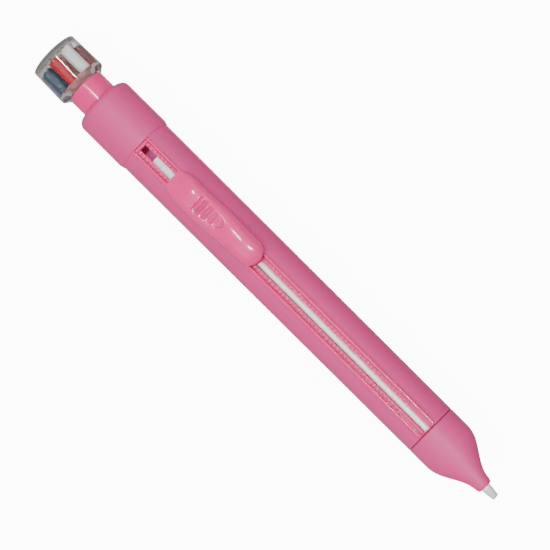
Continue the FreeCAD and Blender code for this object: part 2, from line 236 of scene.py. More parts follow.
def glossy_pink(name, low_tint, high_tint):
    """Polished pink plastic, with the faint waviness of a moulding."""
    made = Finish(name, Specular_IOR_Level=0.3, Coat_Roughness=0.03)
    flow = made.noise(6 * mm, 2.0, made.stretched(0.3, 1, 1))
    wave = made.noise(2.4 * mm, 1.0)
    scuff = made.ramp(made.noise(0.9 * mm, 5.0, made.stretched(0.35, 1, 1)), 0.58, 0.78)
    made.set("Base Color", made.mix(flow, low_tint, high_tint))
    made.set("Roughness", gloss_rough + scuff * 0.12)
    made.set("Coat Weight", gloss_coat - scuff * 0.25)
    made.bump(wave, 0.02 * mm, 0.35)
    return made


def neck_pink():
    """Glossy pink with painted shade: a darker smoky mauve where the clear knob covers it."""
    made = glossy_pink("neck_pink", *deep_pink)
    pink = made.now("Base Color")
    along_x = made.along_pen()
    outside = made.ramp(along_x, cap_base_x - 0.15 * mm, cap_base_x - 0.05 * mm)
    # painted shade: the spigot inside the knob is darkened to a smoky mauve
    made.set("Base Color", made.mix(outside, colour(0.34, 0.19, 0.20), pink))
    return made.material


def slider_pink():
    """Glossy pink with painted shade: darker wherever the mesh's attribute says so, in the dish's valleys and
    at the foot of the front.
    """
    made = glossy_pink("slider_pink", colour(0.75, 0.024, 0.195), colour(0.85, 0.032, 0.230))
    pink = made.now("Base Color")
    painted_shade = made.node("ShaderNodeAttribute", {"attribute_name": "painted_shade"}, {}, "Fac")
    # painted shade: this dark colour darkens the dish's valleys and the foot of the front
    made.set("Base Color", made.mix(painted_shade, pink, colour(0.26, 0.004, 0.050)))
    made.set("Roughness", gloss_rough + painted_shade * 0.35)
    made.set("Coat Weight", gloss_coat - painted_shade * gloss_coat)
    return made.material


pink_gloss = glossy_pink("glossy_pink", *deep_pink).material
pink_neck = neck_pink()
pink_slider = slider_pink()
print("made", pink_gloss.name, pink_neck.name, pink_slider.name)

# %% [markdown]
# The track is glossy pink too. The floor of its tunnel gets a painted glow, an emission of pale mauve that
# stands in for daylight soaking through the thin moulding. Only the floor of its tunnel glows, and only in
# front of the collar, so the painted glow is masked by the height and by the place along the pen, both read
# from the object's own coordinates. The teeth are the same moulding, but the spring has rubbed them dull, so
# their version has almost no clear shine.

# %% Track pink
def track_pink():
    """Glossy pink whose tunnel floor has a painted glow, an emission standing in for light through the
    plastic.
    """
    made = glossy_pink("track_pink", colour(0.70, 0.016, 0.165), colour(0.78, 0.024, 0.200))
    along_x = made.along_pen()
    height = Socket(made, along_x.output.node.outputs["Z"])
    ahead = made.ramp(along_x, collar_end_x + 1.55 * mm, collar_end_x + 1.75 * mm)
    floor = (1.0 - made.ramp(height, 2.2 * mm, 3.4 * mm)) * ahead
    painted_glow = floor * (0.7 + made.noise(1.4 * mm, 2.0) * 0.6)
    # painted glow: the tunnel floor emits pale mauve light, though it is no lamp
    made.set("Emission Color", made.mix(painted_glow, colour(0, 0, 0), colour(0.46, 0.085, 0.30)))
    made.shader.inputs["Emission Strength"].default_value = 0.5
    return made.material


def tooth_pink():
    """The track's pink where the spring has rubbed it dull."""
    made = glossy_pink("tooth_pink", colour(0.68, 0.022, 0.170), colour(0.78, 0.034, 0.210))
    worn = made.noise(0.6 * mm, 3.0)
    made.set("Roughness", 0.42 + worn * 0.18)
    made.set("Coat Weight", worn * 0.10)
    return made.material


pink_track = track_pink()
pink_teeth = tooth_pink()
print("made", pink_track.name, pink_teeth.name)

# %% [markdown]
# The sticks are waxy: slightly translucent at the surface, drawn through a die, so fine streaks run along
# them, and speckled with dust. One function makes every colour. The streaks come from noise that is
# stretched along X. Past the nose, where the stick in use is handled and worn, it is greyer.

# %% Waxy sticks
def wax(name, base, dust_and_shade):
    """A waxy stick of one colour, with drawn streaks and dust."""
    made = Finish(name, Specular_IOR_Level=0.45, Subsurface_Weight=0.06, Subsurface_Scale=0.4 * mm)
    streak = made.noise(0.5 * mm, 3.0, made.stretched(0.08, 1, 1))
    fleck = made.ramp(made.noise(0.7 * mm, 4.0), 0.58, 0.74)
    body_colour = made.mix(fleck * 0.5 + streak * 0.25, base, dust_and_shade)
    along_x = made.along_pen()
    worn = made.ramp(along_x, nose_end_x + 0.2 * mm, nose_end_x + 1.0 * mm)
    made.set("Base Color", made.mix(worn * 0.75, body_colour, colour(0.50, 0.51, 0.50)))
    made.set("Roughness", 0.30 + streak * 0.14)
    made.bump(streak + fleck, 0.02 * mm, 0.5)
    return made.material


stick_colours = {
    "stick": (colour(0.95, 0.91, 0.92), colour(0.84, 0.78, 0.81)),
    "spare_stick_red": (colour(0.42, 0.000, 0.010), colour(0.50, 0.008, 0.022)),
    "spare_stick_blue": (colour(0.010, 0.040, 0.085), colour(0.12, 0.20, 0.25)),
    "spare_stick_violet": (colour(0.20, 0.16, 0.32), colour(0.34, 0.29, 0.44)),
    "spare_stick_orange": (colour(0.58, 0.33, 0.24), colour(0.62, 0.44, 0.36)),
    "spare_stick_maroon": (colour(0.16, 0.018, 0.028), colour(0.26, 0.06, 0.06)),
    "spare_stick_white": (colour(0.97, 0.97, 0.98), colour(0.88, 0.88, 0.92)),
}
wax_of = {}
for node_name, (base, dust_and_shade) in stick_colours.items():
    wax_of[node_name] = wax("wax_" + node_name, base, dust_and_shade)
print("waxes:", len(wax_of))

# %% [markdown]
# The small hidden parts show when the slider or the head moves, so they get finishes of their own: silicone
# rings, plain white plastic, and spring steel whose rolling lines run along the strip.

# %% Silicone, white plastic and steel
def silicone():
    """Soft grey-white rubber with a dusty surface."""
    made = Finish("silicone", Specular_IOR_Level=0.3)
    cloud = made.noise(0.8 * mm, 3.0)
    made.set("Base Color", made.mix(cloud, colour(0.56, 0.56, 0.54), colour(0.70, 0.69, 0.66)))
    made.set("Roughness", 0.55 + cloud * 0.2)
    made.bump(cloud, 0.02 * mm, 0.4)
    return made.material


def white_plastic():
    """Plain moulded white plastic, a little grey where it is handled."""
    made = Finish("white_plastic", Specular_IOR_Level=0.5)
    cloud = made.noise(1.6 * mm, 3.0)
    made.set("Base Color", made.mix(cloud, colour(0.80, 0.78, 0.84), colour(0.93, 0.94, 0.95)))
    made.set("Roughness", 0.22 + cloud * 0.15)
    made.bump(cloud, 0.03 * mm, 0.4)
    return made.material


def spring_steel():
    """Bright rolled strip, its lines along the pen."""
    made = Finish("spring_steel", Metallic=1.0)
    lines = made.noise(0.12 * mm, 2.0, made.stretched(0.03, 1, 1))
    made.set("Base Color", made.mix(lines, colour(0.56, 0.56, 0.58), colour(0.72, 0.72, 0.74)))
    made.set("Roughness", 0.22 + lines * 0.2)
    made.bump(lines, 0.004 * mm, 0.5)
    return made.material


soft_ring = silicone()
plain_white = white_plastic()
steel = spring_steel()
print("made", soft_ring.name, plain_white.name, steel.name)

# %% [markdown]
# The knob is clear acrylic, so its shader lets light through and bends it, and the bores inside it act as
# small lenses. The solid wall at the knob's flat end is painted a dark smoky grey, a painted shade for the
# darkness that the thick end shows, and the flange round the neck gets a pinkish-brown tint. Two masks along
# X give these tints, and a Layer Weight node paints shade on what is seen edge-on, for the dark edges of a
# thick clear moulding.

# %% Clear acrylic
def clear_acrylic():
    """Polished clear plastic, with painted shade at its thick end wall and where it is seen edge-on, and a
    pinkish tint in its flange.
    """
    made = Finish("clear_acrylic", Transmission_Weight=1.0, IOR=1.49)
    along_x = made.along_pen()
    haze = made.ramp(made.noise(1.2 * mm, 4.0), 0.5, 0.8)
    end_wall = 1.0 - made.ramp(along_x, cap_end_x + 0.8 * mm, cap_end_x + 1.2 * mm)
    flange = made.ramp(along_x, cap_base_x - 2.4 * mm, cap_base_x - 2.0 * mm)
    clear = made.mix(haze, colour(0.96, 0.95, 0.94), colour(0.88, 0.88, 0.87))
    # painted shade: what is seen edge-on is darkened
    edge_on_painted_shade = made.node("ShaderNodeLayerWeight", {}, {"Blend": 0.35}, "Facing")
    # painted shade: the thick end wall is darkened to a smoky grey
    end_wall_painted_shade = made.mix(end_wall, clear, colour(0.34, 0.31, 0.29))
    tinted = made.mix(flange, end_wall_painted_shade, colour(0.80, 0.66, 0.64))
    made.set("Base Color", made.mix(edge_on_painted_shade ** 2, tinted, colour(0.40, 0.41, 0.39)))
    made.set("Roughness", 0.015 + haze * 0.03)
    made.bump(made.noise(1.8 * mm, 1.0), 0.015 * mm, 0.3)
    return made.material


acrylic = clear_acrylic()
print("made", acrylic.name)

# %% [markdown]
# Most of the pen is turned. `turn` spins an outline of (x, radius) points about an axis along X, and `arc`
# gives the points of a round stretch of such an outline. Both are used again and again, so a change of one
# radius reshapes a whole piece.

# %% Turning
def arc(x, r, radius, start, end, steps):
    """Points of an arc about (x, r), with angles in degrees from +X towards +r."""
    points = []
    for index in range(steps + 1):
        angle = math.radians(start + (end - start) * index / steps)
        points.append((x + radius * math.cos(angle), r + radius * math.sin(angle)))
    return points


def turn(bm, outline, steps, y=0.0, z=0.0, closed=True):
    """Spins an outline of (x, radius) points about the line at (y, z)."""
    verts = [bm.verts.new((x, y, z + r)) for x, r in outline]
    edges = [bm.edges.new(pair) for pair in zip(verts, verts[1:])]
    if closed:
        edges.append(bm.edges.new((verts[-1], verts[0])))
    bmesh.ops.spin(bm, geom=verts + edges, cent=(0, y, z), axis=(1, 0, 0), dvec=(0, 0, 0),
                   angle=2 * math.pi, steps=steps, use_merge=True, use_duplicate=False)
    bmesh.ops.remove_doubles(bm, verts=bm.verts, dist=0.0005 * mm)


print("turning helpers ready")

# %% [markdown]
# What isn't round about the pen's axis is lofted: a ring of edges is extruded from station to station.
# `extend` extrudes a ring once and gives back the new ring, and `close_ring` fills one. `ring_at` finds the
# circle that a turned piece has at one place, so that a face or another bore can be joined to it.

# %% Rings
def circle(bm, segments, x=0.0, y=0.0, z=0.0, radius=1.0):
    """A round ring of edges across the pen."""
    place = Matrix.Translation((x, y, z)) @ Matrix.Rotation(math.pi / 2, 4, "Y")
    made = bmesh.ops.create_circle(bm, cap_ends=False, segments=segments, radius=radius, matrix=place)
    return list({e for v in made["verts"] for e in v.link_edges})


def extend(bm, ring):
    """Extrudes a ring of edges, and returns the new ring and its vertices."""
    made = bmesh.ops.extrude_edge_only(bm, edges=ring)["geom"]
    verts = [g for g in made if isinstance(g, bmesh.types.BMVert)]
    edges = [g for g in made if isinstance(g, bmesh.types.BMEdge) and set(g.verts) <= set(verts)]
    return edges, verts


def close_ring(bm, ring):
    """Fills a ring that lies flat across the pen, or such a ring with rings of holes in it."""
    bmesh.ops.triangle_fill(bm, use_beauty=True, use_dissolve=False, edges=ring, normal=(1, 0, 0))


def ring_at(bm, x, r):
    """The edges of the circle of radius r about the pen's axis at x."""
    near = 0.002 * mm
    return [e for e in bm.edges if all(abs(v.co.x - x) < near and abs(v.co.yz.length - r) < near
                                       for v in e.verts)]


print("ring helpers ready")

# %% [markdown]
# `loft` scales and moves a ring as it goes, which makes the eccentric nose. `brick` is a box between two
# corners, and `bevel_edges` rounds edges with the settings that the editor would use. `soft_step` rises
# from 0 to 1 without a kink, and shapes many of the small forms below.

# %% Lofting
def loft(bm, ring, stations):
    """Extrudes a ring of radius 1 m at the origin through stations of (x, radius, height of the centre)."""
    verts = list({v for e in ring for v in e.verts})
    now = (0.0, 1.0, 0.0)
    for index, station in enumerate(stations):
        if index:
            ring, verts = extend(bm, ring)
        x, r, z = station
        about = Matrix.Translation((-now[0], 0, -now[2]))
        bmesh.ops.scale(bm, vec=(1, r / now[1], r / now[1]), space=about, verts=verts)
        bmesh.ops.translate(bm, vec=(x - now[0], 0, z - now[2]), verts=verts)
        now = station
    return ring


def brick(bm, x0, x1, y0, y1, z0, z1):
    """A box between two corners."""
    size = Matrix.Diagonal((x1 - x0, y1 - y0, z1 - z0, 1))
    place = Matrix.Translation(((x0 + x1) / 2, (y0 + y1) / 2, (z0 + z1) / 2))
    return bmesh.ops.create_cube(bm, size=1.0, matrix=place @ size)["verts"]


def bevel_edges(bm, edges, offset, segments):
    """Rounds some edges."""
    bmesh.ops.bevel(bm, geom=edges, offset=offset, offset_type="OFFSET", affect="EDGES",
                    segments=segments, profile=0.5, material=-1)


def soft_step(value, start, end):
    """0 before start, 1 after end, smooth between them."""
    share = min(max((value - start) / (end - start), 0.0), 1.0)
    return share * share * (3 - 2 * share)


print("lofting helpers ready")

# %% [markdown]
# A finished bmesh becomes an object whose place is in its mesh. Faces are smooth, and edges sharper than a
# limit stay crisp. The piece is then parented to the empty of the body it moves with, and the engineering
# parts that it stands for are hidden.

# %% Finishing a piece
def finish_piece(name, bm, material, body, slot, stands_for=(), sharp=32):
    """Makes the object of a finished bmesh and attaches it to its body."""
    bmesh.ops.recalc_face_normals(bm, faces=bm.faces)
    for edge in bm.edges:
        edge.smooth = len(edge.link_faces) != 2 or edge.calc_face_angle(0) < math.radians(sharp)
    for face in bm.faces:
        face.smooth = True
    mesh = bpy.data.meshes.new(name)
    bm.to_mesh(mesh)
    bm.free()
    piece = bpy.data.objects.new(name, mesh)
    bpy.context.collection.objects.link(piece)
    mesh.materials.append(material)
    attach(piece, body)
    if stands_for:
        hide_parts(*stands_for)
    print("%s: %d faces" % (name, len(mesh.polygons)))


print("ready to finish pieces")

# %% [markdown]
# The camera looks almost straight down at the window. It stands over the nose seam, which is why the knob's
# end is seen a little from inside, and it is a touch to one side, so the window seems turned by about six
# degrees. A long lens keeps the pen's sides parallel. The pen's axis runs from the upper left to the lower
# right of the view.

# %% Camera
camera_away = 552 * mm
side_angle = math.radians(6.1)
view_turn = math.radians(44.83)
view_width = 128.6 * mm
view_middle = 50.9 * mm
look_at = Vector((seam_x - view_middle, 0, 0))
camera_at = Vector((seam_x, camera_away * math.sin(side_angle), camera_away * math.cos(side_angle)))
back = (camera_at - look_at).normalized()
along = (Vector((1, 0, 0)) - back * back.x).normalized()
across = back.cross(along)
right = along * math.cos(view_turn) + across * math.sin(view_turn)
up = back.cross(right)
lens = bpy.data.cameras.new("camera")
lens.lens = lens.sensor_width * (camera_at - look_at).length / view_width
lens.clip_start = 10 * mm
camera = bpy.data.objects.new("camera", lens)
camera.matrix_world = Matrix.Translation(camera_at) @ Matrix((right, up, back)).transposed().to_4x4()
bpy.context.collection.objects.link(camera)
bpy.context.scene.camera = camera
print("lens %.0f mm" % lens.lens)

# %% [markdown]
# Soft studio light comes from a large panel on one side and a wider, weaker one on the other. Their mirror
# images would be broad pale patches on the glossy parts, so both are hidden from glossy rays, and only
# light the colours. Three narrow panels near the camera do the opposite and give only shine. They reach
# across the pen, so their images are round sparkles on the slider's dome, clear lines on the thin rims and
# a soft glow on the satin collar. The sky is plain white, so nothing goes black.

# %% Lights
lit_point = Vector((0.05, 0, 0))


def panel(name, place, size, power):
    """A square area light that faces the middle of the pen."""
    data = bpy.data.lights.new(name, "AREA")
    data.size = size
    data.energy = power
    light = bpy.data.objects.new(name, data)
    facing = (Vector(place) - lit_point).to_track_quat("Z", "Y").to_matrix().to_4x4()
    light.matrix_world = Matrix.Translation(place) @ facing
    bpy.context.collection.objects.link(light)
    return light


soft_lights = [
    panel("key", (0.12, -0.32, 0.62), 0.45, 5.9),
    panel("fill", (-0.15, 0.55, 0.60), 0.60, 4.1),
]
sparks = [
    panel("front_spark", (0.205, 0.10, 0.62), 0.016, 2.6),
    panel("middle_spark", (0.127, 0.10, 0.62), 0.016, 3.0),
    panel("rear_spark", (-0.17, 0.08, 0.60), 0.036, 1.9),
]
spark_length = 0.13
for light in soft_lights:
    light.visible_glossy = False
for light in sparks:
    light.visible_diffuse = False
    light.data.shape = "RECTANGLE"
    light.data.size_y = spark_length

world = bpy.data.worlds.new("studio")
world.use_nodes = True
sky = world.node_tree.nodes["Background"].inputs
sky["Color"].default_value = colour(1.0, 1.0, 1.0)
sky["Strength"].default_value = 0.60
bpy.context.scene.world = world

# %% [markdown]
# The floor is a lit sheet, as studios lay under small goods: it glows evenly, so the pen lies on clean
# white with only a breath of shadow. Its glow would also wash over the pen's flanks and blaze through the
# clear knob, so the floor is hidden from every ray but the camera's own, and the knob shows the softer
# light of the sky instead.

# %% Floor
floor_finish = Finish("pale_floor", Specular_IOR_Level=0.1, Roughness=0.8, Emission_Strength=11.0)
cloud = floor_finish.noise(80 * mm, 2.0)
floor_finish.set("Base Color", floor_finish.mix(cloud, colour(0.90, 0.90, 0.90), colour(0.94, 0.94, 0.94)))
floor_finish.set("Emission Color", floor_finish.mix(cloud, colour(0.97, 0.97, 0.97), colour(1.0, 1.0, 1.0)))
floor_z = -collar_r - 0.2 * mm
floor_place = Matrix.Translation((0.05, 0, floor_z))
floor_bm = bmesh.new()
bmesh.ops.create_grid(floor_bm, x_segments=2, y_segments=2, size=1.5, matrix=floor_place)
floor_mesh = bpy.data.meshes.new("floor")
floor_bm.to_mesh(floor_mesh)
floor_bm.free()
floor_mesh.materials.append(floor_finish.material)
floor = bpy.data.objects.new("floor", floor_mesh)
floor.visible_diffuse = False
floor.visible_glossy = False
floor.visible_transmission = False
bpy.context.collection.objects.link(floor)
print("floor at z %.1f mm" % (floor_z / mm))

# %% [markdown]
# The barrel is a thin tube with a slot along its top. A lengthwise line is spun most of the way round, from
# one side of the slot to the other, and the two end columns are then pulled to the slot's exact width,
# because the tube tapers and the slot doesn't. Solidify gives the wall.

# %% Barrel
track_half = 2.70 * mm
bore_r = 5.60 * mm
seat_r = 6.60 * mm


def barrel_skin():
    """The outside of the barrel, open along the slot."""
    bm = bmesh.new()
    round_off = 0.06 * mm
    steps = 24
    step_x = collar_end_x - 0.40 * mm
    outline = [(low("barrel").x, seat_r), (step_x, seat_r), (step_x + 0.02 * mm, barrel_r)]
    for index in range(1, steps):
        x = collar_end_x + (seam_x - collar_end_x) * index / steps
        outline.append((x, barrel_r + (nose_r - barrel_r) * index / steps))
    outline += arc(seam_x - round_off, nose_r - round_off, round_off, 80, 0, 4)
    gap = math.asin(track_half / barrel_r)
    verts = [bm.verts.new((x, r * math.sin(gap), r * math.cos(gap))) for x, r in outline]
    edges = [bm.edges.new(pair) for pair in zip(verts, verts[1:])]
    made = bmesh.ops.spin(bm, geom=verts + edges, cent=(0, 0, 0), axis=(-1, 0, 0), dvec=(0, 0, 0),
                          angle=2 * math.pi - 2 * gap, steps=90, use_merge=False, use_duplicate=False)
    last = [g for g in made["geom_last"] if isinstance(g, bmesh.types.BMVert)]
    for vert in verts + last:
        r = math.hypot(vert.co.y, vert.co.z)
        y = math.copysign(track_half, vert.co.y)
        vert.co = (vert.co.x, y, math.sqrt(r * r - y * y))
    return bm


def thicken(bm, wall):
    """Gives an open skin a wall on its inner side."""
    bmesh.ops.recalc_face_normals(bm, faces=bm.faces)
    bm.faces.ensure_lookup_table()
    middle = bm.faces[len(bm.faces) // 2]
    centre = middle.calc_center_median()
    outwards = Vector((0, centre.y, centre.z)).dot(middle.normal) > 0
    if not outwards:
        bmesh.ops.reverse_faces(bm, faces=bm.faces)
    bmesh.ops.solidify(bm, geom=bm.faces[:] + bm.edges[:] + bm.verts[:], thickness=wall)


barrel_bm = barrel_skin()
thicken(barrel_bm, nose_r - bore_r - 0.05 * mm)
finish_piece("barrel_tube", barrel_bm, pink_satin, "barrel", "pink_satin", ["barrel"])

# %% [markdown]
# The collar is a plain turned sleeve: a big rounded shoulder towards the neck, a straight side and a small
# bevel down to the barrel. The outline is closed, so spinning it makes the whole solid at once.

# %% Collar
def collar_outline():
    """The collar's section, from its mouth round the outside and back inside."""
    shoulder = 1.65 * mm
    bevel = 0.9 * mm
    small = 0.15 * mm
    step_x = 2.0 * mm
    sleeve_r = seat_r + 0.02 * mm
    points = [(small, bore_r), (0, bore_r + small)]
    points += arc(shoulder, collar_r - shoulder, shoulder, 180, 90, 10)
    points += [(collar_end_x - bevel - small, collar_r), (collar_end_x - bevel, collar_r - 0.02 * mm)]
    points += [(collar_end_x - bevel * 0.5, collar_r - 0.16 * mm)]
    points += arc(collar_end_x - small, barrel_r + 0.06 * mm, small, 60, 0, 3)
    points += [(collar_end_x, sleeve_r), (step_x, sleeve_r), (step_x, bore_r)]
    return points


collar_bm = bmesh.new()
turn(collar_bm, collar_outline(), 128)
finish_piece("collar_sleeve", collar_bm, pink_satin, "barrel", "pink_satin", ["collar"])

# %% [markdown]
# The nose is a soft S curve that starts as wide as the barrel and ends as a small tip. The tip isn't on the
# pen's axis: its sections climb towards the window, because the stick runs close under the window. A ring
# is lofted through stations on one smooth curve, straight for its first quarter, rounded over at the tip
# and carried back inside as the bore.

# %% Nose
seam_gap = 0.20 * mm
# the curve is straight for the first share of the nose and falls over the second
nose_straight = 0.25
nose_fall = 0.78


def nose_share(along):
    """How much of the barrel's width is left, from 1 at the seam to 0 at the tip."""
    fall = max(along - nose_straight, 0.0) / nose_fall
    return 1 - fall ** 3 * (10 - 15 * fall + 6 * fall ** 2)


def nose_stations():
    """Stations of the nose's rear face, its outside, its rounded tip and its bore."""
    tip_r = stick_r + 0.80 * mm
    bore = stick_r + 0.08 * mm
    edge = 1.00 * mm
    round_depth = 0.50 * mm
    seam_edge = 0.10 * mm
    length = nose_end_x - seam_x
    start = seam_x + seam_gap
    stations = [(start, bore_r, 0.0), (start, nose_r - seam_edge, 0.0), (start + seam_edge, nose_r, 0.0)]
    steps = 60
    for index in range(1, steps + 1):
        along = index / steps * (1 - edge / length)
        share = nose_share(along)
        r = tip_r + (nose_r - tip_r) * share
        stations.append((seam_x + along * length, r, stick_z * (1 - share)))
    for degrees in range(15, 91, 15):
        angle = math.radians(degrees)
        x = nose_end_x - edge * (1 - math.sin(angle))
        stations.append((x, tip_r - round_depth * (1 - math.cos(angle)), stick_z))
    lip = 0.08 * mm
    stations.append((nose_end_x, bore + lip, stick_z))
    stations.append((nose_end_x - lip, bore, stick_z))
    stations.append((nose_end_x - 5 * mm, bore, stick_z))
    return stations


nose_bm = bmesh.new()
loft(nose_bm, circle(nose_bm, 112), nose_stations())
finish_piece("nose_shell", nose_bm, pink_satin, "barrel", "pink_satin", ["nose_cone"])

# %% [markdown]
# The nose stands on a narrow step, which shows as a hair of deep pink in the parting line. That is the dark
# line round the pen: a thin turned washer in a dark, dull finish of its own, painted shade for the shadow
# inside the parting line.

# %% Seam ring
def seam_shade_pink():
    """Deep, dull pink, painted shade for what lies inside a parting line."""
    made = Finish("seam_shade_pink", Specular_IOR_Level=0.05)
    dust_and_shade = made.noise(0.5 * mm, 3.0)
    # painted shade: the dark pink stands for the shadow in the parting line, and the noise only varies it
    made.set("Base Color", made.mix(dust_and_shade, colour(0.13, 0.006, 0.035), colour(0.20, 0.012, 0.055)))
    made.set("Roughness", 0.75 + dust_and_shade * 0.2)
    made.bump(dust_and_shade, 0.02 * mm, 0.4)
    return made.material


def seam_ring():
    """The washer, sunk a little into the barrel and the nose."""
    bm = bmesh.new()
    sunk = 0.05 * mm
    inner, outer = nose_r - 1.0 * mm, nose_r - 0.10 * mm
    x0, x1 = seam_x - sunk, seam_x + seam_gap + sunk
    turn(bm, [(x0, inner), (x0, outer), (x1, outer), (x1, inner)], 112)
    return bm


finish_piece("seam_ring", seam_ring(), seam_shade_pink(), "barrel", "pink_satin")

# %% [markdown]
# The toothed track is moulded as a slotted channel. Its section is drawn once, as a closed line that goes
# round the outside and back through the tunnel, and one extrusion makes the whole length. The feet on its
# sides hook under the barrel's wall, and the two ledges at the top leave a groove for the slider's tongue.

# %% Track channel
groove_half = 0.845 * mm
window_half = 1.83 * mm
ledge_top = 5.95 * mm
ledge_under = 5.50 * mm
tunnel_half = 2.10 * mm
tunnel_floor = 1.60 * mm
shoulder_z = 6.28 * mm
bead_r = (track_half - window_half) / 2
track_end = seam_x - 0.02 * mm
end_bar = 0.32 * mm
window_end = track_end - end_bar


def channel_section():
    """One side of the channel's section as (y, z), from the groove's lip round the outside to the floor."""
    lip = 0.05 * mm
    foot_half, foot_top, foot_low = 3.60 * mm, 4.26 * mm, 3.51 * mm
    outside = [(groove_half, ledge_top - lip), (groove_half + lip, ledge_top), (window_half, ledge_top),
               (window_half, shoulder_z), (track_half - lip, shoulder_z), (track_half, shoulder_z - lip)]
    outside += [(track_half, foot_top), (foot_half, foot_top), (foot_half, foot_low), (track_half, foot_low)]
    outside.append((track_half, low("feed_track").z))
    inside = [(tunnel_half, tunnel_floor), (tunnel_half, ledge_under), (groove_half, ledge_under)]
    return outside, inside


def channel():
    """The slotted channel, from under the collar to the seam."""
    bm = bmesh.new()
    outside, inside = channel_section()
    around = outside + [(-y, z) for y, z in reversed(outside)]
    around += [(-y, z) for y, z in reversed(inside)] + inside
    verts = [bm.verts.new((low("feed_track").x, y, z)) for y, z in around]
    ring = [bm.edges.new(pair) for pair in zip(verts, verts[1:] + verts[:1])]
    close_ring(bm, ring)
    far_ring, far_verts = extend(bm, ring)
    bmesh.ops.translate(bm, vec=(track_end - low("feed_track").x, 0, 0), verts=far_verts)
    close_ring(bm, far_ring)
    brick(bm, window_end + 0.05 * mm, track_end, -window_half, window_half, ledge_under, shoulder_z)
    return bm


finish_piece("track_channel", channel(), pink_track, "barrel", "pink_gloss", ["feed_track"])

# %% [markdown]
# A raised rim with a round top runs along each side of the window and turns across its closed front end.
# That is one sweep: a small ring goes straight along the pen, spins a quarter turn about each corner's
# centre, and comes back on the other side. The stretch across the end is then squeezed, because that bar is
# thinner than the sides. The rim's glossy round top draws the two bright lines that frame the window.

# %% Rims
def straight(bm, ring, x, y):
    """Carries a ring of edges straight on."""
    edges, verts = extend(bm, ring)
    bmesh.ops.translate(bm, vec=(x, y, 0), verts=verts)
    return edges


def corner(bm, ring, x, y):
    """Carries a ring of edges a quarter turn round the upright line at (x, y)."""
    verts = list({v for e in ring for v in e.verts})
    made = bmesh.ops.spin(bm, geom=verts + ring, cent=(x, y, 0), axis=(0, 0, -1), dvec=(0, 0, 0),
                          angle=math.pi / 2, steps=10, use_merge=False, use_duplicate=False)
    return [g for g in made["geom_last"] if isinstance(g, bmesh.types.BMEdge)]


def rims():
    """The rim round the window, swept as one U."""
    bm = bmesh.new()
    corner_r = 0.55 * mm + bead_r
    start_x = collar_end_x + 0.04 * mm
    inner_x = track_end - 2 * bead_r
    corner_x = inner_x + bead_r - corner_r
    corner_y = window_half + bead_r - corner_r
    middle_y = window_half + bead_r
    section = arc(middle_y, rim_top - bead_r, bead_r, 0, 180, 12)
    section += [(window_half, ledge_top - 0.05 * mm), (track_half, ledge_top - 0.05 * mm)]
    verts = [bm.verts.new((start_x, y, z)) for y, z in section]
    ring = [bm.edges.new(pair) for pair in zip(verts, verts[1:] + verts[:1])]
    close_ring(bm, ring)
    ring = straight(bm, ring, corner_x - start_x, 0)
    ring = corner(bm, ring, corner_x, corner_y)
    ring = straight(bm, ring, 0, -2 * corner_y)
    ring = corner(bm, ring, corner_x, -corner_y)
    ring = straight(bm, ring, start_x - corner_x, 0)
    close_ring(bm, ring)
    for vert in bm.verts:
        x = vert.co.x
        if x > inner_x:
            vert.co.x = track_end - (track_end - x) * end_bar / (2 * bead_r)
        elif x > corner_x + 0.001 * mm:
            vert.co.x = corner_x + (x - corner_x) * (window_end - corner_x) / (inner_x - corner_x)
    return bm


finish_piece("track_rims", rims(), pink_gloss, "barrel", "pink_gloss")

# %% [markdown]
# At the rear the window ends at a small rounded bar beside the collar. It catches the light, and behind it
# the tunnel is in deep shadow. It is a box with its upper edges bevelled round.

# %% Rear bar
def rear_bar():
    """The bar that closes the window beside the collar."""
    bm = bmesh.new()
    x0, x1 = collar_end_x + 0.03 * mm, collar_end_x + 0.88 * mm
    brick(bm, x0, x1, -window_half, window_half, ledge_under + 0.03 * mm, rim_top - 0.12 * mm)
    top = [e for e in bm.edges if all(v.co.z > shoulder_z for v in e.verts)]
    upper = [e for e in top if abs(e.verts[0].co.y - e.verts[1].co.y) > mm]
    bevel_edges(bm, upper, 0.26 * mm, 5)
    return bm


finish_piece("track_rear_bar", rear_bar(), pink_gloss, "barrel", "pink_gloss")

# %% [markdown]
# The two rows of teeth look like the rungs of a ladder. One tooth is a box whose top is shorter than its
# foot, with its edges bevelled. It is made once, and copied along both ledges by a loop.

# %% Teeth
tooth_pitch = 1.18 * mm
tooth_length = 0.84 * mm
tooth_flank = 0.08 * mm
teeth_top = 6.30 * mm
first_tooth = low("feed_track").x + 0.50 * mm
bare_end = 7.0 * mm


def copy_by(bm, geometry, vector):
    """Duplicates some geometry and moves the copy."""
    copy = bmesh.ops.duplicate(bm, geom=geometry)["geom"]
    verts = [g for g in copy if isinstance(g, bmesh.types.BMVert)]
    bmesh.ops.translate(bm, vec=vector, verts=verts)


def tooth_rows():
    """Two rows of bevelled teeth, one on each ledge."""
    bm = bmesh.new()
    count = int((seam_x - bare_end - first_tooth) / tooth_pitch)
    inner = groove_half + 0.03 * mm
    outer = window_half - 0.10 * mm
    verts = brick(bm, first_tooth, first_tooth + tooth_length, inner, outer, ledge_top - 0.05 * mm, teeth_top)
    upper = [v for v in verts if v.co.z > ledge_top]
    about = Matrix.Translation((-first_tooth - tooth_length / 2, 0, 0))
    bmesh.ops.scale(bm, vec=(1 - 2 * tooth_flank / tooth_length, 1, 1), space=about, verts=upper)
    edges = [e for e in bm.edges if any(v in upper for v in e.verts)]
    bevel_edges(bm, edges, 0.05 * mm, 2)
    copy_by(bm, bm.verts[:] + bm.edges[:] + bm.faces[:], (0, -inner - outer, 0))
    pair = bm.verts[:] + bm.edges[:] + bm.faces[:]
    for index in range(1, count):
        copy_by(bm, pair, (index * tooth_pitch, 0, 0))
    print("teeth:", 2 * count)
    return bm


finish_piece("track_teeth", tooth_rows(), pink_teeth, "barrel", "pink_gloss")

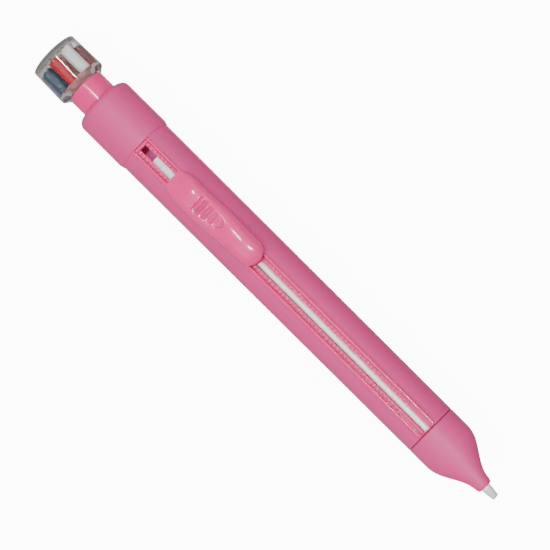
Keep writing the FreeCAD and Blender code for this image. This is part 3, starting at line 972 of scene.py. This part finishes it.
# %% [markdown]
# The thumb slider is the pen's one free form. It starts as a plain tube lofted from a ring, fine enough to
# carve, and every point is then moved to where the button's form says. The form is put together from a few
# simple curves: the plan outline, the line of its crest, a rounded section, and the underside that follows
# the rims and the barrel.

# %% Slider outline and crest
def blend_points(points, x):
    """A smooth curve through (x, value) points, flat beyond the ends."""
    if x <= points[0][0]:
        return points[0][1]
    if x >= points[-1][0]:
        return points[-1][1]
    index = max(i for i in range(len(points) - 1) if points[i][0] <= x)
    before = points[max(index - 1, 0)]
    x0, v0 = points[index]
    x1, v1 = points[index + 1]
    after = points[min(index + 2, len(points) - 1)]
    slope0 = (v1 - before[1]) / (x1 - before[0])
    slope1 = (after[1] - v0) / (after[0] - x0)
    t = (x - x0) / (x1 - x0)
    rise = (2 * t - 3) * t * t
    return v0 * (1 + rise) - v1 * rise + (x1 - x0) * t * (1 - t) * (slope0 * (1 - t) - slope1 * t)


button_length = button_x1 - button_x0
pocket_z = rim_top + 0.10 * mm
rear_half = 2.30 * mm
front_half = 3.22 * mm
front_round = 3.5 * mm
# distance from the button's rear end and height of its crest above its underside, both in mm
crest_in_mm = [
    (0.0, 0.12), (0.5, 0.30), (1.8, 0.80), (3.8, 1.50), (5.6, 2.00), (7.2, 2.10),
    (10.5, 1.92), (14.0, 1.82), (16.2, 2.02), (18.6, 2.50), (21.2, 2.87), (23.0, 2.96),
    (25.0, 2.82), (26.8, 2.25), (27.9, 1.40), (28.4, 0.70), (28.55, 0.30),
]
crest = [(x * mm, z * mm) for x, z in crest_in_mm]


def half_width(x):
    """Half the button's width, x from its rear end: cut corners at the rear, a round end at the front."""
    rear = rear_half + 0.50 * x
    side = button_half - (button_half - front_half) * soft_step(x, 13 * mm, 24 * mm)
    cut = min(rear, side) - 0.12 * mm * math.exp(-abs(rear - side) / (0.3 * mm))
    bow = max(x - button_length + front_round, 0.0) / front_round
    return cut * math.sqrt(max(1 - bow * bow, 0.004))


print("slider: %.1f mm long, %.1f mm wide" % (button_length / mm, 2 * half_width(8 * mm) / mm))

# %% [markdown]
# The thumb rests in a dish behind the dome. The dish has a steep wall at the rear, narrows forwards, and
# ends in a round D. Four straight ribs cross it. All of it is one function that gives the depth at a point,
# which keeps the edges of the dish and the ends of the ribs soft, as they are on a moulding.

# %% Slider dish and ribs
dish_rear = 8.30 * mm
dish_turn = 14.3 * mm
dish_length = 2.5 * mm
dish_rear_half = 2.45 * mm
dish_turn_half = 1.70 * mm
rib_first = 9.05 * mm
rib_pitch = 1.82 * mm
rib_width = 0.58 * mm
rib_height = 0.72


def dish_half(x):
    """Half the dish's width, x from the button's rear end."""
    if x < dish_turn:
        share = (x - dish_rear) / (dish_turn - dish_rear)
        return dish_rear_half + (dish_turn_half - dish_rear_half) * share
    bow = min((x - dish_turn) / dish_length, 1.0)
    return dish_turn_half * math.sqrt(1 - bow * bow)


def dish_depth(x, y):
    """How far the surface is sunk at a point, ribs included."""
    if x < dish_rear - 0.1 * mm or x > dish_turn + dish_length:
        return 0.0
    inside = soft_step(dish_half(x) - abs(y), -0.15 * mm, 0.85 * mm)
    wall = soft_step(x, dish_rear - 0.1 * mm, dish_rear + 0.30 * mm)
    floor = 0.90 * mm - 0.45 * mm * soft_step(x, dish_rear, dish_turn + dish_length)
    ribs = 0.0
    for index in range(4):
        away = (x - rib_first - index * rib_pitch) / rib_width
        ribs += rib_height * math.exp(-away * away)
    return inside * wall * floor * (1 - ribs)


print("dish %.1f mm long" % ((dish_turn + dish_length - dish_rear) / mm))

# %% [markdown]
# The button sits a little askew, its front end towards one rim, as these sliders do in a loose window.
# Stations stand closer together over the dish and at both ends, where the form changes fast.

# %% Slider button
lean = 0.55 * mm
section_power = 2.5


def button_centre(x):
    """How far the button's middle line leans to one side, x from its rear end."""
    return lean * soft_step(x, 8 * mm, 24 * mm)


def dish_at(x, y):
    """The dish's depth on the leaning button."""
    return dish_depth(x, y - button_centre(x) * 0.5)


def underside(y):
    """The button's lower face: over the rims in the middle, close to the barrel outside them."""
    saddle = barrel_r + 0.20 * mm
    over = soft_step(abs(y), track_half + 0.04 * mm, track_half + 0.14 * mm)
    return pocket_z + (math.sqrt(max(saddle * saddle - y * y, 0)) - pocket_z) * over


def button_point(x, angle):
    """A point of the button's skin, x from its rear end, angle round its section."""
    centre = button_centre(x)
    half = half_width(x)
    share = math.cos(angle)
    y = centre + half * share
    if angle < 0:
        return Vector((button_x0 + x, y, underside(y)))
    edge = underside(y if abs(share) > 0.999 else centre + math.copysign(half, share))
    top = pocket_z + blend_points(crest, x)
    arch = (1 - abs(share) ** section_power) ** (1 / section_power)
    side_weight = abs(share) ** 4
    base = pocket_z + (edge - pocket_z) * side_weight
    z = base + (top - base) * arch - dish_at(x, y)
    return Vector((button_x0 + x, y, max(z, underside(y))))


def slider_stations():
    """Places along the button, from 0 to its length."""
    stations = [0.0]
    while stations[-1] < button_length:
        x = stations[-1]
        fine = dish_rear - 0.5 * mm < x < dish_turn + dish_length + 0.5 * mm
        near_end = x < 1.5 * mm or x > button_length - 1.2 * mm
        stations.append(x + (0.10 * mm if fine or near_end else 0.30 * mm))
    stations[-1] = button_length
    return stations


def painted_shade_at(x, y, z):
    """How much painted shade lies at a point: in the dish's valleys and at the foot of the front."""
    valley = soft_step(dish_at(x, y), 0.10 * mm, 0.85 * mm) if z > rim_top else 0.0
    foot = soft_step(x, button_length - 1.6 * mm, button_length - 0.3 * mm)
    foot *= 1 - soft_step(z, rim_top + 0.6 * mm, rim_top + 1.5 * mm)
    return min(valley * 0.55 + foot * 0.9, 1.0)


def slider_body():
    """The button's closed skin."""
    bm = bmesh.new()
    ring = circle(bm, 144)
    first = ring
    places = slider_stations()
    for before, x in zip(places, places[1:]):
        ring, verts = extend(bm, ring)
        bmesh.ops.translate(bm, vec=(x - before, 0, 0), verts=verts)
    for vert in bm.verts:
        x, y, z = vert.co
        level = abs(z) < 1e-6
        vert.co = button_point(x, math.atan2(0.0 if level else z, y))
    bmesh.ops.contextual_create(bm, geom=first)
    bmesh.ops.contextual_create(bm, geom=ring)
    bmesh.ops.remove_doubles(bm, verts=bm.verts, dist=0.0005 * mm)
    # the attribute carries painted shade for the dish's valleys and the foot of the front
    painted_shade = bm.verts.layers.float.new("painted_shade")
    for vert in bm.verts:
        vert[painted_shade] = painted_shade_at(vert.co.x - button_x0, vert.co.y, vert.co.z)
    return bm


finish_piece("thumb_slider", slider_body(), pink_slider, "slider", "pink_gloss", ["slider_button"], sharp=50)

# %% [markdown]
# The neck and the plug behind it are one turning with an O-ring groove. Six bores go right through it for
# the sticks. Each end face is a disc with six round holes, filled between its rim and the holes' rings, and
# each bore's wall bridges the two rings.

# %% Head plug
neck_r = 4.90 * mm
spigot_r = 4.70 * mm
plug_r = high("head_plug").y
spigot_x = low("head_plug").x
plug_end_x = high("head_plug").x
chamber_r = stick_r + 0.08 * mm
chamber_circle = 2 * chamber_r + 0.56 * mm
knob_turn = math.radians(8)


def chamber_places():
    """The y and z of the six chambers' axes."""
    places = []
    for index in range(6):
        angle = knob_turn + math.radians(60 * index)
        places.append((-chamber_circle * math.sin(angle), chamber_circle * math.cos(angle)))
    return places


def holed_end(bm, rim, x, hole_r=chamber_r):
    """Closes a rim with a flat face that has the six holes, and returns the rings of the holes."""
    holes = [circle(bm, 40, x, y, z, hole_r) for y, z in chamber_places()]
    close_ring(bm, rim + [edge for hole in holes for edge in hole])
    return holes


def head_plug():
    """Spigot, neck and plug, with their bores."""
    bm = bmesh.new()
    edge = 0.12 * mm
    groove_r = bore_r - 0.74 * mm
    groove_x0, groove_x1 = 2.90 * mm, 3.80 * mm
    neck_x = cap_base_x + 0.02 * mm
    outline = [(spigot_x, spigot_r - edge), (spigot_x + edge, spigot_r), (neck_x, spigot_r)]
    outline += arc(neck_x + edge, neck_r - edge, edge, 180, 90, 4)
    outline += [(-0.30 * mm, neck_r), (-0.10 * mm, neck_r + 0.03 * mm), (0.0, neck_r + 0.12 * mm)]
    outline += [(0.0, plug_r - edge), (edge, plug_r), (groove_x0, plug_r), (groove_x0, groove_r)]
    outline += [(groove_x1, groove_r), (groove_x1, plug_r)]
    outline += [(plug_end_x - edge, plug_r), (plug_end_x, plug_r - edge)]
    turn(bm, outline, 112, closed=False)
    rear = holed_end(bm, ring_at(bm, spigot_x, spigot_r - edge), spigot_x)
    front = holed_end(bm, ring_at(bm, plug_end_x, plug_r - edge), plug_end_x)
    for rear_hole, front_hole in zip(rear, front):
        bmesh.ops.bridge_loops(bm, edges=rear_hole + front_hole)
    return bm


finish_piece("neck_and_plug", head_plug(), pink_neck, "head", "pink_gloss", ["head_plug"])

# %% [markdown]
# The clear knob is a turned cup with a thick end wall. Its socket takes the plug's spigot, and six blind
# bores go on from the socket's floor. Clear plastic shows everything inside it. With a film of air round
# each stick, the bore's wall would mirror the sky and hide the stick's flanks, so the bores are a hair
# tighter than the waxy sticks, which wet them. Light then goes straight from the plastic to the wax, and
# the sticks look as thick as they are.

# %% Clear knob
def clear_knob():
    """The knob's skin, its socket and its blind bores."""
    bm = bmesh.new()
    edge = 0.20 * mm
    lip = 0.05 * mm
    play = 0.03 * mm
    end_wall = 1.00 * mm
    shoulder = 0.60 * mm
    socket_r = spigot_r + play
    floor_x = spigot_x - play
    chamfer_x, chamfer_r = 1.00 * mm, 1.30 * mm
    taper = 0.20 * mm
    bore = stick_r - 0.03 * mm
    end_r = cap_r - taper
    outline = [(cap_end_x, 0.0)]
    outline += arc(cap_end_x + edge, end_r - edge, edge, 180, 90, 5)
    outline += arc(cap_base_x - chamfer_x - shoulder / 2, cap_r - shoulder, shoulder, 90, 45, 5)
    outline += arc(cap_base_x - edge, cap_r - chamfer_r - lip, edge, 40, 0, 3)
    outline += [(cap_base_x, socket_r + lip), (cap_base_x - lip, socket_r), (floor_x, socket_r)]
    turn(bm, outline, 128, closed=False)
    for hole in holed_end(bm, ring_at(bm, floor_x, socket_r), floor_x, bore):
        ring = straight(bm, hole, cap_end_x + end_wall - floor_x, 0)
        close_ring(bm, ring)
    return bm


finish_piece("clear_knob", clear_knob(), acrylic, "head", "clear_plastic", ["head_cap"])

# %% [markdown]
# Spare sticks are snapped to length, so their ends are ragged and not all equally long. Each one is turned
# with a blunt end, and its last ring of points is pushed to and fro by smooth noise.

# %% Spare sticks
def spare_stick(name, short, place):
    """One spare stick with a ragged rear end, shorter than its chamber by `short`."""
    bm = bmesh.new()
    y, z = place
    rear_x = low(name).x + short
    front_x = high(name).x
    edge = 0.18 * mm
    ragged_by = 0.9 * mm
    side_x = rear_x + edge * 1.5
    outline = [(rear_x, 0.0), (rear_x, stick_r * 0.5), (rear_x, stick_r - 2 * edge)]
    outline += [(rear_x + edge * 0.4, stick_r - edge), (side_x, stick_r)]
    steps = 24
    step = (front_x - rear_x - 2 * edge) / steps
    outline += [(side_x + step * index, stick_r) for index in range(1, steps)]
    outline += [(front_x - edge, stick_r), (front_x, stick_r - edge), (front_x, 0.0)]
    turn(bm, outline, 40, y, z, closed=False)
    for vert in bm.verts:
        ragged = 1 - soft_step(vert.co.x, rear_x + 0.2 * mm, rear_x + ragged_by)
        wave = noise.noise(Vector((vert.co.x, vert.co.y + y, vert.co.z)) / ragged_by)
        vert.co.x += ragged * abs(wave) * ragged_by
    finish_piece(name + "_piece", bm, wax_of[name], "head", name.split("_")[2] + "_stick", [name])


shortness = {"red": 0.20, "blue": 0.70, "violet": 0.40, "orange": 0.20, "maroon": 1.30, "white": 0.0}
for place, (stick_name, short) in zip(chamber_places(), shortness.items()):
    spare_stick("spare_stick_" + stick_name, short * mm, place)

# %% [markdown]
# The stick in use runs from the slider's holder out through the nose. Where it leaves the nose it is worn
# to a slimmer, slightly slanting end. A nick on its side and a faint wobble keep it from looking like a
# machined bar.

# %% Stick in use
def stick_in_use():
    """The white stick, with its worn end and one nick."""
    bm = bmesh.new()
    start_x = low("stick").x
    worn_r = 0.90 * mm
    steps = 160
    step = (nose_end_x - start_x) / steps
    outline = [(start_x, 0.0), (start_x, stick_r)]
    outline += [(start_x + step * index, stick_r) for index in range(1, steps + 1)]
    outline += [(nose_end_x + 1.2 * mm, stick_r - 0.10 * mm), (tip_x - 1.0 * mm, worn_r + 0.07 * mm)]
    outline += arc(tip_x - 0.30 * mm, worn_r - 0.30 * mm, 0.30 * mm, 80, 0, 5) + [(tip_x, 0.0)]
    turn(bm, outline, 48, 0.0, stick_z, closed=False)
    nick_x = seam_x - 25.6 * mm
    for vert in bm.verts:
        x, y, z = vert.co
        wobble = noise.noise(Vector((x / (3 * mm), y / (1.5 * mm), z / (1.5 * mm)))) * 0.02 * mm
        outwards = Vector((0, y, z - stick_z))
        if outwards.length > 0.1 * stick_r and x < nose_end_x - 6 * mm:
            nick = 0.22 * mm * math.exp(-((x - nick_x) / (0.5 * mm)) ** 2) * soft_step(y, 0.3 * mm, 0.8 * mm)
            vert.co -= outwards.normalized() * (nick + abs(wobble))
        slant = soft_step(x, nose_end_x + 0.5 * mm, tip_x)
        vert.co.x -= slant * (0.16 * mm + 0.18 * (z - stick_z) + 0.10 * y)
    return bm


finish_piece("stick_in_use", stick_in_use(), wax_of["stick"], "slider", "white_stick", ["stick"])

# %% [markdown]
# The white holder grips the stick's tail. Its end shows in the window behind the slider: a bevelled bar
# with a flat top, stepped down a little at the rear. It is turned first, and its upper points are then
# pressed down to the flat.

# %% Stick holder
def stick_holder():
    """The turned holder with its pressed flat."""
    bm = bmesh.new()
    rear_x = low("stick_holder").x
    front_x = high("stick_holder").x
    holder_r = high("stick_holder").y
    bevel = 0.55 * mm
    step_x = rear_x + 2.6 * mm
    flat_z = high("stick_holder").z
    edge = 0.15 * mm
    socket_r = stick_r + 0.01 * mm
    outline = [(rear_x, 0.0), (rear_x, holder_r - bevel)]
    outline += arc(rear_x + bevel, holder_r - bevel, bevel, 170, 90, 6)
    outline += [(step_x - 0.1 * mm, holder_r), (step_x + 0.1 * mm, holder_r)]
    outline += [(front_x - edge, holder_r), (front_x, holder_r - edge), (front_x, socket_r)]
    outline += [(low("stick").x, socket_r), (low("stick").x, 0.0)]
    turn(bm, outline, 64, 0.0, stick_z, closed=False)
    for vert in bm.verts:
        flat = flat_z - 0.16 * mm * (1 - soft_step(vert.co.x, step_x - 0.11 * mm, step_x + 0.11 * mm))
        vert.co.z = min(vert.co.z, flat)
    bmesh.ops.remove_doubles(bm, verts=bm.verts, dist=0.0005 * mm)
    return bm


finish_piece("holder_tail", stick_holder(), plain_white, "slider", "white_plastic", ["stick_holder"])

# %% [markdown]
# The engineering parts that are already the right shape keep their meshes and only change their finish.
# They are loose triangles that point the right way, so nothing else is done to them.

# %% Finishes for the carried-over parts
carried = {
    "guide_bush": plain_white,
    "brake_ring": soft_ring,
    "carriage": pink_gloss,
    "grip_leaf": steel,
    "pawl_spring": steel,
    "head_o_ring": soft_ring,
    "selector_disc": plain_white,
    "selector_screw": steel,
}
for part, finish in carried.items():
    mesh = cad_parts[part].data
    mesh.materials.clear()
    mesh.materials.append(finish)
print("carried over:", ", ".join(carried))
